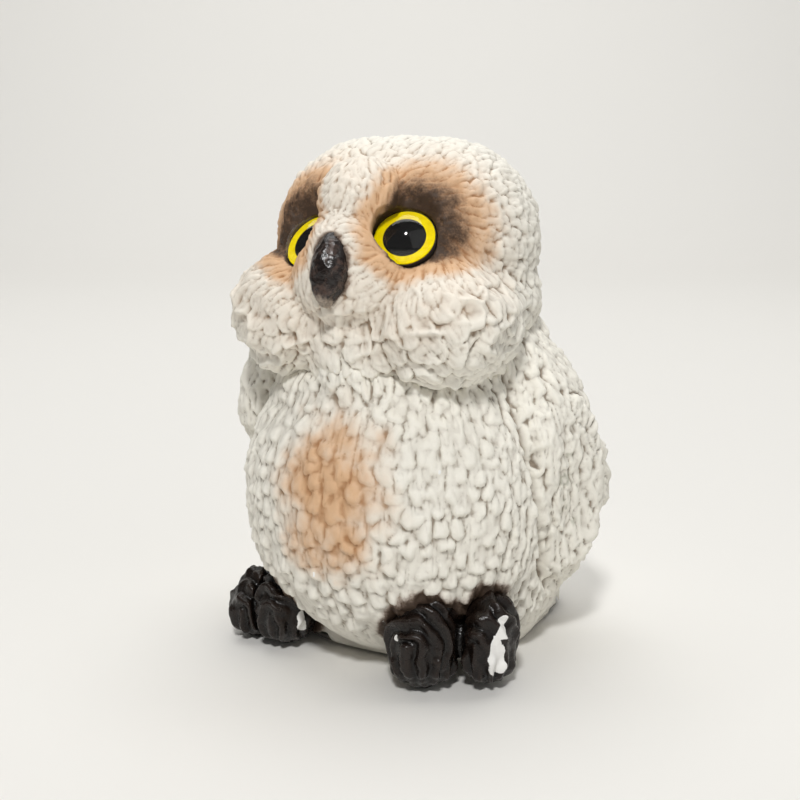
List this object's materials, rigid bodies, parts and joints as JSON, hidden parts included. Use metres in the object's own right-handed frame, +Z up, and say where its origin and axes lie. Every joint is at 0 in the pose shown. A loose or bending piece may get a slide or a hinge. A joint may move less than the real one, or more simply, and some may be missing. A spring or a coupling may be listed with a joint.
{
  "type": "owl figurine",
  "caption": "Snowy owl chick figurine: a plump cast plaster body looking upwards, with set-in glass eyes, beak and toes and a felt pad underneath.",
  "frame": {"origin": "on the table plane, under the middle of the owl's neck, at the underside of the felt pad", "axes": "+Z up, -Y the way the owl faces, +X towards the owl's left wing"},
  "size_m": [0.0952, 0.0917, 0.127],
  "materials": {
    "plaster": "matte warm off-white paint on cast plaster, grey-brown grime in the creases, tan airbrushing round the eyes and on the breast",
    "foot_paint": "glossy dark brown paint over plaster, chipped white",
    "beak_paint": "glossy mottled dark brown paint",
    "felt": "short-pile felt",
    "eye_glass": "clear polished glass",
    "iris_enamel": "bright yellow enamel fired on the glass",
    "pupil_enamel": "black enamel fired on the glass",
    "wire": "annealed steel wire",
    "putty": "matte plaster putty"
  },
  "bodies": {
    "root": {"beak": "beak_paint", "body_casting": "plaster", "felt_pad": "felt", "left_eye_glass": "eye_glass", "left_eye_putty": "putty", "left_eye_wire": "wire", "left_foot": "foot_paint", "left_iris": "iris_enamel", "left_pupil": "pupil_enamel", "right_eye_glass": "eye_glass", "right_eye_putty": "putty", "right_eye_wire": "wire", "right_foot": "foot_paint", "right_iris": "iris_enamel", "right_pupil": "pupil_enamel"}
  },
  "joints": []
}
